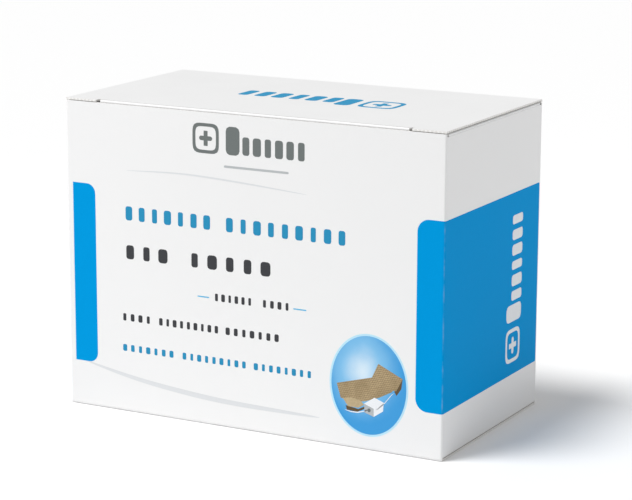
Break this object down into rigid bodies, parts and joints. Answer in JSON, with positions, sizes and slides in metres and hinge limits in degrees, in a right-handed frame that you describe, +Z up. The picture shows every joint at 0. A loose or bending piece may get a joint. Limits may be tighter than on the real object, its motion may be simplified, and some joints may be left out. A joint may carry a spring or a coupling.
{
  "type": "boxed pressure relief mattress kit",
  "caption": "White tuck-top retail carton with blue bands and an oval product picture, holding a folded bubble-cell air mattress, its pump, hoses, mains cord and booklet.",
  "frame": {"origin": "centre of the closed carton's base", "axes": "+X to the right across the printed front, +Y from front to back, +Z up; the printed front faces -Y"},
  "size_m": [0.34, 0.182, 0.256],
  "materials": {
    "white_board": "gloss",
    "grey_board": "matte",
    "mattress_vinyl": "satin",
    "clear_tube": "gloss",
    "paper": "matte",
    "cord_grey": "satin",
    "tie_black": "satin",
    "case_white": "satin",
    "panel_blue": "satin",
    "knob_white": "satin",
    "dark_plastic": "satin",
    "rocker_green": "gloss",
    "lamp_green": "gloss",
    "steel": "satin",
    "zinc": "satin",
    "pin_brass": "gloss",
    "foot_rubber": "matte",
    "natural_plastic": "satin",
    "copper_winding": "satin",
    "board_green": "satin",
    "blue_parts": "gloss"
  },
  "bodies": {
    "carton": {"carton_sleeve": "white_board", "glue_flap": "grey_board", "bottom_flap_front": "white_board", "bottom_flap_back": "white_board", "bottom_flap_left": "white_board", "bottom_flap_right": "white_board", "divider_panel": "grey_board", "pump_tray": "grey_board", "air_mattress": "mattress_vinyl", "mattress_inlets": "clear_tube", "instruction_booklet": "paper", "air_hose_a": "clear_tube", "air_hose_b": "clear_tube", "hose_connectors": "natural_plastic", "hose_tie": "tie_black", "power_cord": "cord_grey", "cord_tie": "tie_black", "mains_plug": "cord_grey", "plug_pins": "pin_brass", "repair_patches": "mattress_vinyl", "pump_front_case": "case_white", "pump_back_case": "case_white", "control_panel": "panel_blue", "pressure_valve": "natural_plastic", "switch_bezel": "dark_plastic", "switch_body": "dark_plastic", "power_lamp": "lamp_green", "air_outlets": "natural_plastic", "cord_grommet": "cord_grey", "fuse_holder": "dark_plastic", "hook_pins": "steel", "pump_feet": "foot_rubber", "case_screws": "zinc", "chassis_plate": "zinc", "chassis_mounts": "foot_rubber", "magnet_core": "steel", "magnet_coil": "copper_winding", "armature_pins": "steel", "diaphragms": "foot_rubber", "valve_chambers": "natural_plastic", "distributor_motor": "zinc", "distributor_cap": "natural_plastic", "air_tubes": "clear_tube", "circuit_board": "board_green", "board_parts": "blue_parts"},
    "lid": {"lid_panel": "white_board"},
    "tuck": {"tuck_flap": "white_board"},
    "dust_left": {"dust_flap_left": "white_board"},
    "dust_right": {"dust_flap_right": "white_board"},
    "knob": {"pressure_knob": "knob_white", "knob_shaft": "steel"},
    "rocker": {"switch_rocker": "rocker_green"},
    "hook_l": {"hook_left": "zinc"},
    "hook_r": {"hook_right": "zinc"},
    "armature_l": {"armature_left": "steel"},
    "armature_r": {"armature_right": "steel"},
    "distributor": {"distributor_rotor": "knob_white"},
    "fuse_carrier": {"fuse_cap": "dark_plastic"}
  },
  "joints": [
    {"name": "lid_hinge", "type": "hinge", "parent": "carton", "child": "lid", "pos_m": [0, 0.0895, 0.2545], "axis": [-1, 0, 0], "range_deg": [0, 190]},
    {"name": "tuck_fold", "type": "hinge", "parent": "lid", "child": "tuck", "pos_m": [0, -0.0877, 0.2545], "axis": [-1, 0, 0], "range_deg": [0, 48]},
    {"name": "dust_left_hinge", "type": "hinge", "parent": "carton", "child": "dust_left", "pos_m": [-0.1685, 0, 0.2525], "axis": [0, -1, 0], "range_deg": [0, 96]},
    {"name": "dust_right_hinge", "type": "hinge", "parent": "carton", "child": "dust_right", "pos_m": [0.1685, 0, 0.2525], "axis": [0, 1, 0], "range_deg": [0, 96]},
    {"name": "knob_turn", "type": "hinge", "parent": "carton", "child": "knob", "pos_m": [0.088, 0.028, 0.22885], "axis": [0, 0, 1], "range_deg": [-135, 135]},
    {"name": "switch_rock", "type": "hinge", "parent": "carton", "child": "rocker", "pos_m": [-0.018, 0.028, 0.22785], "axis": [0, 1, 0], "range_deg": [0, 14]},
    {"name": "hook_left_fold", "type": "hinge", "parent": "carton", "child": "hook_l", "pos_m": [-0.032, 0.072, 0.15755], "axis": [0, 1, 0], "range_deg": [0, 90]},
    {"name": "hook_right_fold", "type": "hinge", "parent": "carton", "child": "hook_r", "pos_m": [0.112, 0.072, 0.15755], "axis": [0, -1, 0], "range_deg": [0, 90]},
    {"name": "armature_left_swing", "type": "hinge", "parent": "carton", "child": "armature_l", "pos_m": [-0.012, -0.002, 0.18285], "axis": [0, 0, 1], "range_deg": [-1.5, 1.5]},
    {"name": "armature_right_swing", "type": "hinge", "parent": "carton", "child": "armature_r", "pos_m": [-0.012, 0.058, 0.18285], "axis": [0, 0, 1], "range_deg": [-1.5, 1.5]},
    {"name": "distributor_spin", "type": "hinge", "parent": "carton", "child": "distributor", "pos_m": [0.088, 0.028, 0.18485], "axis": [0, 0, 1], "continuous": true},
    {"name": "fuse_carrier_turn", "type": "hinge", "parent": "carton", "child": "fuse_carrier", "pos_m": [0.06, -0.028, 0.20285], "axis": [0, -1, 0], "range_deg": [0, 45]}
  ],
  "couplings": [
    {"joint": "tuck_fold", "follows": "lid_hinge", "ratio": 0.25},
    {"joint": "dust_left_hinge", "follows": "lid_hinge", "ratio": 0.5},
    {"joint": "dust_right_hinge", "follows": "lid_hinge", "ratio": 0.5},
    {"joint": "armature_right_swing", "follows": "armature_left_swing", "ratio": -1}
  ]
}
